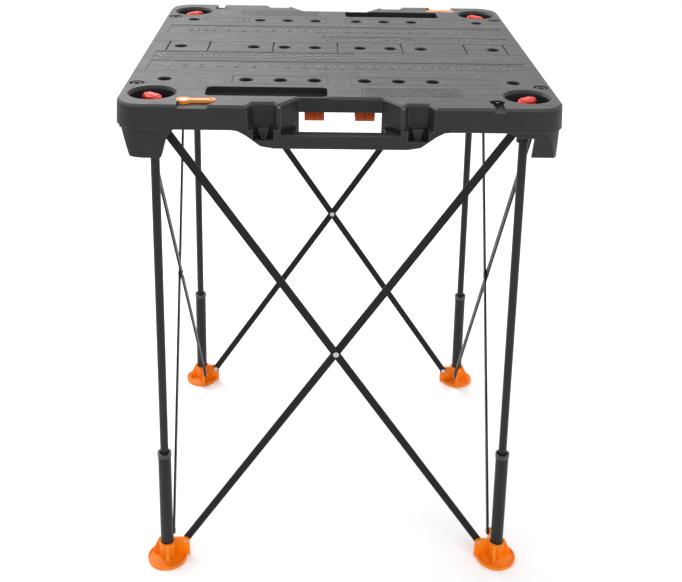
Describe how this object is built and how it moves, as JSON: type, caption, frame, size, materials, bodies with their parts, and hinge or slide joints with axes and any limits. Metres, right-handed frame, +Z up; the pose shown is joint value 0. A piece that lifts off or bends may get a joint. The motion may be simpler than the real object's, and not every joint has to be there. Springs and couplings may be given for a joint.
{
  "type": "folding work stand",
  "caption": "Folding square work stand: ribbed plastic top with bench dog holes, trays and edge grips on telescoping legs braced by crossed flat bars, with wide round feet.",
  "frame": {"origin": "on the floor, under the middle of the worktop", "axes": "+Z up, +X to the right along the edge with the carry grip, +Y from the front grip to the back grip"},
  "size_m": [0.634, 0.638, 0.8128],
  "materials": {
    "worktop_plastic": "fine grained moulded black plastic",
    "hub_plastic": "satin moulded black plastic",
    "tube_steel": "satin black powder coat",
    "bar_steel": "black powder coat",
    "foot_plastic": "moulded orange plastic",
    "button_plastic": "smooth red plastic",
    "link_plastic": "moulded amber orange plastic",
    "clip_plastic": "moulded burnt orange plastic",
    "collar_plastic": "moulded grey plastic",
    "rivet_steel": "zinc plated steel"
  },
  "bodies": {
    "worktop": {"worktop": "worktop_plastic", "link_pivots": "rivet_steel", "storage_clip_left": "clip_plastic", "storage_clip_right": "clip_plastic", "clip_screws": "rivet_steel"},
    "hub_front_left": {"hub_front_left": "hub_plastic", "hub_rivets_front_left": "rivet_steel", "lock_spring_front_left": "rivet_steel"},
    "plunger_front_left": {"lock_plunger_front_left": "hub_plastic"},
    "button_front_left": {"button_front_left": "button_plastic"},
    "tube_front_left": {"upper_tube_front_left": "tube_steel"},
    "sleeve_front_left": {"lower_sleeve_front_left": "tube_steel", "sleeve_collar_front_left": "collar_plastic"},
    "foot_front_left": {"foot_front_left": "foot_plastic", "foot_rivets_front_left": "rivet_steel"},
    "hub_front_right": {"hub_front_right": "hub_plastic", "hub_rivets_front_right": "rivet_steel", "lock_spring_front_right": "rivet_steel"},
    "plunger_front_right": {"lock_plunger_front_right": "hub_plastic"},
    "button_front_right": {"button_front_right": "button_plastic"},
    "tube_front_right": {"upper_tube_front_right": "tube_steel"},
    "sleeve_front_right": {"lower_sleeve_front_right": "tube_steel", "sleeve_collar_front_right": "collar_plastic"},
    "foot_front_right": {"foot_front_right": "foot_plastic", "foot_rivets_front_right": "rivet_steel"},
    "hub_back_right": {"hub_back_right": "hub_plastic", "hub_rivets_back_right": "rivet_steel", "lock_spring_back_right": "rivet_steel"},
    "plunger_back_right": {"lock_plunger_back_right": "hub_plastic"},
    "button_back_right": {"button_back_right": "button_plastic"},
    "tube_back_right": {"upper_tube_back_right": "tube_steel"},
    "sleeve_back_right": {"lower_sleeve_back_right": "tube_steel", "sleeve_collar_back_right": "collar_plastic"},
    "foot_back_right": {"foot_back_right": "foot_plastic", "foot_rivets_back_right": "rivet_steel"},
    "hub_back_left": {"hub_back_left": "hub_plastic", "hub_rivets_back_left": "rivet_steel", "lock_spring_back_left": "rivet_steel"},
    "plunger_back_left": {"lock_plunger_back_left": "hub_plastic"},
    "button_back_left": {"button_back_left": "button_plastic"},
    "tube_back_left": {"upper_tube_back_left": "tube_steel"},
    "sleeve_back_left": {"lower_sleeve_back_left": "tube_steel", "sleeve_collar_back_left": "collar_plastic"},
    "foot_back_left": {"foot_back_left": "foot_plastic", "foot_rivets_back_left": "rivet_steel"},
    "outer_bar_front": {"outer_bar_front": "bar_steel", "crossing_rivet_front": "rivet_steel"},
    "inner_bar_front": {"inner_bar_front": "bar_steel"},
    "outer_bar_right": {"outer_bar_right": "bar_steel", "crossing_rivet_right": "rivet_steel"},
    "inner_bar_right": {"inner_bar_right": "bar_steel"},
    "outer_bar_back": {"outer_bar_back": "bar_steel", "crossing_rivet_back": "rivet_steel"},
    "inner_bar_back": {"inner_bar_back": "bar_steel"},
    "outer_bar_left": {"outer_bar_left": "bar_steel", "crossing_rivet_left": "rivet_steel"},
    "inner_bar_left": {"inner_bar_left": "bar_steel"},
    "link_front": {"link_front": "link_plastic"},
    "link_back": {"link_back": "link_plastic"}
  },
  "joints": [
    {"name": "hub_slide", "type": "slide", "parent": "worktop", "child": "hub_front_left", "axis": [0.7071, 0.7071, 0], "range_m": [0, 0.331]},
    {"name": "frame_fold", "type": "hinge", "parent": "hub_front_left", "child": "outer_bar_front", "pos_m": [-0.252, -0.27565, 0.7815], "axis": [0, 1, 0], "range_deg": [0, 31.5]},
    {"name": "crossing_front", "type": "hinge", "parent": "outer_bar_front", "child": "inner_bar_front", "pos_m": [0, -0.274, 0.40625], "axis": [0, 1, 0], "range_deg": [-63.2, 0]},
    {"name": "foot_pivot_front_left", "type": "hinge", "parent": "inner_bar_front", "child": "foot_front_left", "pos_m": [-0.252, -0.27235, 0.031], "axis": [0, 1, 0], "range_deg": [0, 31.7]},
    {"name": "hub_pivot_front_right", "type": "hinge", "parent": "inner_bar_front", "child": "hub_front_right", "pos_m": [0.252, -0.27235, 0.7815], "axis": [0, 1, 0], "range_deg": [0, 31.7]},
    {"name": "foot_pivot_front_right", "type": "hinge", "parent": "outer_bar_front", "child": "foot_front_right", "pos_m": [0.252, -0.27565, 0.031], "axis": [0, 1, 0], "range_deg": [-31.7, 0]},
    {"name": "bar_pivot_left", "type": "hinge", "parent": "hub_front_left", "child": "inner_bar_left", "pos_m": [-0.27235, -0.252, 0.7815], "axis": [1, 0, 0], "range_deg": [-31.7, 0]},
    {"name": "crossing_left", "type": "hinge", "parent": "inner_bar_left", "child": "outer_bar_left", "pos_m": [-0.274, 0, 0.40625], "axis": [1, 0, 0], "range_deg": [0, 63.2]},
    {"name": "hub_pivot_back_left", "type": "hinge", "parent": "outer_bar_left", "child": "hub_back_left", "pos_m": [-0.27565, 0.252, 0.7815], "axis": [1, 0, 0], "range_deg": [-31.7, 0]},
    {"name": "foot_pivot_back_left", "type": "hinge", "parent": "inner_bar_left", "child": "foot_back_left", "pos_m": [-0.27235, 0.252, 0.031], "axis": [1, 0, 0], "range_deg": [0, 31.7]},
    {"name": "bar_pivot_right", "type": "hinge", "parent": "hub_front_right", "child": "outer_bar_right", "pos_m": [0.27565, -0.252, 0.7815], "axis": [-1, 0, 0], "range_deg": [0, 31.7]},
    {"name": "crossing_right", "type": "hinge", "parent": "outer_bar_right", "child": "inner_bar_right", "pos_m": [0.274, 0, 0.40625], "axis": [-1, 0, 0], "range_deg": [-63.2, 0]},
    {"name": "hub_pivot_back_right", "type": "hinge", "parent": "inner_bar_right", "child": "hub_back_right", "pos_m": [0.27235, 0.252, 0.7815], "axis": [-1, 0, 0], "range_deg": [0, 31.7]},
    {"name": "foot_pivot_back_right", "type": "hinge", "parent": "outer_bar_right", "child": "foot_back_right", "pos_m": [0.27565, 0.252, 0.031], "axis": [-1, 0, 0], "range_deg": [-31.7, 0]},
    {"name": "bar_pivot_back", "type": "hinge", "parent": "hub_back_left", "child": "inner_bar_back", "pos_m": [-0.252, 0.27235, 0.7815], "axis": [0, -1, 0], "range_deg": [-31.7, 0]},
    {"name": "crossing_back", "type": "hinge", "parent": "inner_bar_back", "child": "outer_bar_back", "pos_m": [0, 0.274, 0.40625], "axis": [0, -1, 0], "range_deg": [0, 63.2]},
    {"name": "tube_lean_front_left", "type": "hinge", "parent": "hub_front_left", "child": "tube_front_left", "pos_m": [-0.25878, -0.25878, 0.758], "axis": [0.7071, -0.7071, 0], "range_deg": [0, 0.559]},
    {"name": "sleeve_lean_front_left", "type": "hinge", "parent": "foot_front_left", "child": "sleeve_front_left", "pos_m": [-0.2832, -0.2832, 0.024], "axis": [0.7071, -0.7071, 0], "range_deg": [0, 0.559]},
    {"name": "tube_lean_front_right", "type": "hinge", "parent": "hub_front_right", "child": "tube_front_right", "pos_m": [0.25878, -0.25878, 0.758], "axis": [0.7071, 0.7071, 0], "range_deg": [0, 0.559]},
    {"name": "sleeve_lean_front_right", "type": "hinge", "parent": "foot_front_right", "child": "sleeve_front_right", "pos_m": [0.2832, -0.2832, 0.024], "axis": [0.7071, 0.7071, 0], "range_deg": [0, 0.559]},
    {"name": "tube_lean_back_right", "type": "hinge", "parent": "hub_back_right", "child": "tube_back_right", "pos_m": [0.25878, 0.25878, 0.758], "axis": [-0.7071, 0.7071, 0], "range_deg": [0, 0.559]},
    {"name": "sleeve_lean_back_right", "type": "hinge", "parent": "foot_back_right", "child": "sleeve_back_right", "pos_m": [0.2832, 0.2832, 0.024], "axis": [-0.7071, 0.7071, 0], "range_deg": [0, 0.559]},
    {"name": "tube_lean_back_left", "type": "hinge", "parent": "hub_back_left", "child": "tube_back_left", "pos_m": [-0.25878, 0.25878, 0.758], "axis": [-0.7071, -0.7071, 0], "range_deg": [0, 0.559]},
    {"name": "sleeve_lean_back_left", "type": "hinge", "parent": "foot_back_left", "child": "sleeve_back_left", "pos_m": [-0.2832, 0.2832, 0.024], "axis": [-0.7071, -0.7071, 0], "range_deg": [0, 0.559]},
    {"name": "press_front_left", "type": "slide", "parent": "worktop", "child": "button_front_left", "axis": [0, 0, -1], "range_m": [0, 0.0049], "stiffness_N_per_m": 600},
    {"name": "plunger_slide_front_left", "type": "slide", "parent": "hub_front_left", "child": "plunger_front_left", "axis": [0, 0, -1], "range_m": [0, 0.0049], "deforming": ["lock_spring_front_left"]},
    {"name": "press_front_right", "type": "slide", "parent": "worktop", "child": "button_front_right", "axis": [0, 0, -1], "range_m": [0, 0.0049], "stiffness_N_per_m": 600},
    {"name": "plunger_slide_front_right", "type": "slide", "parent": "hub_front_right", "child": "plunger_front_right", "axis": [0, 0, -1], "range_m": [0, 0.0049], "deforming": ["lock_spring_front_right"]},
    {"name": "press_back_right", "type": "slide", "parent": "worktop", "child": "button_back_right", "axis": [0, 0, -1], "range_m": [0, 0.0049], "stiffness_N_per_m": 600},
    {"name": "plunger_slide_back_right", "type": "slide", "parent": "hub_back_right", "child": "plunger_back_right", "axis": [0, 0, -1], "range_m": [0, 0.0049], "deforming": ["lock_spring_back_right"]},
    {"name": "press_back_left", "type": "slide", "parent": "worktop", "child": "button_back_left", "axis": [0, 0, -1], "range_m": [0, 0.0049], "stiffness_N_per_m": 600},
    {"name": "plunger_slide_back_left", "type": "slide", "parent": "hub_back_left", "child": "plunger_back_left", "axis": [0, 0, -1], "range_m": [0, 0.0049], "deforming": ["lock_spring_back_left"]},
    {"name": "link_swing_front", "type": "hinge", "parent": "worktop", "child": "link_front", "pos_m": [-0.212, -0.287, 0.8093], "axis": [0, 0, -1], "range_deg": [0, 90]},
    {"name": "link_swing_back", "type": "hinge", "parent": "worktop", "child": "link_back", "pos_m": [0.212, 0.287, 0.8093], "axis": [0, 0, -1], "range_deg": [0, 90]}
  ],
  "couplings": [
    {"joint": "hub_slide", "follows": "frame_fold", "m_per_rad": 0.59987},
    {"joint": "crossing_front", "follows": "frame_fold", "ratio": -2},
    {"joint": "foot_pivot_front_left", "follows": "frame_fold", "ratio": 1},
    {"joint": "hub_pivot_front_right", "follows": "frame_fold", "ratio": 1},
    {"joint": "foot_pivot_front_right", "follows": "frame_fold", "ratio": -1},
    {"joint": "bar_pivot_left", "follows": "frame_fold", "ratio": -1},
    {"joint": "crossing_left", "follows": "frame_fold", "ratio": 2},
    {"joint": "hub_pivot_back_left", "follows": "frame_fold", "ratio": -1},
    {"joint": "foot_pivot_back_left", "follows": "frame_fold", "ratio": 1},
    {"joint": "bar_pivot_right", "follows": "frame_fold", "ratio": 1},
    {"joint": "crossing_right", "follows": "frame_fold", "ratio": -2},
    {"joint": "hub_pivot_back_right", "follows": "frame_fold", "ratio": 1},
    {"joint": "foot_pivot_back_right", "follows": "frame_fold", "ratio": -1},
    {"joint": "bar_pivot_back", "follows": "frame_fold", "ratio": -1},
    {"joint": "crossing_back", "follows": "frame_fold", "ratio": 2},
    {"joint": "tube_lean_front_left", "follows": "frame_fold", "ratio": 0.0171},
    {"joint": "sleeve_lean_front_left", "follows": "frame_fold", "ratio": 0.0171},
    {"joint": "tube_lean_front_right", "follows": "frame_fold", "ratio": 0.0171},
    {"joint": "sleeve_lean_front_right", "follows": "frame_fold", "ratio": 0.0171},
    {"joint": "tube_lean_back_right", "follows": "frame_fold", "ratio": 0.0171},
    {"joint": "sleeve_lean_back_right", "follows": "frame_fold", "ratio": 0.0171},
    {"joint": "tube_lean_back_left", "follows": "frame_fold", "ratio": 0.0171},
    {"joint": "sleeve_lean_back_left", "follows": "frame_fold", "ratio": 0.0171},
    {"joint": "plunger_slide_front_left", "follows": "press_front_left", "ratio": 1},
    {"joint": "plunger_slide_front_right", "follows": "press_front_right", "ratio": 1},
    {"joint": "plunger_slide_back_right", "follows": "press_back_right", "ratio": 1},
    {"joint": "plunger_slide_back_left", "follows": "press_back_left", "ratio": 1}
  ]
}
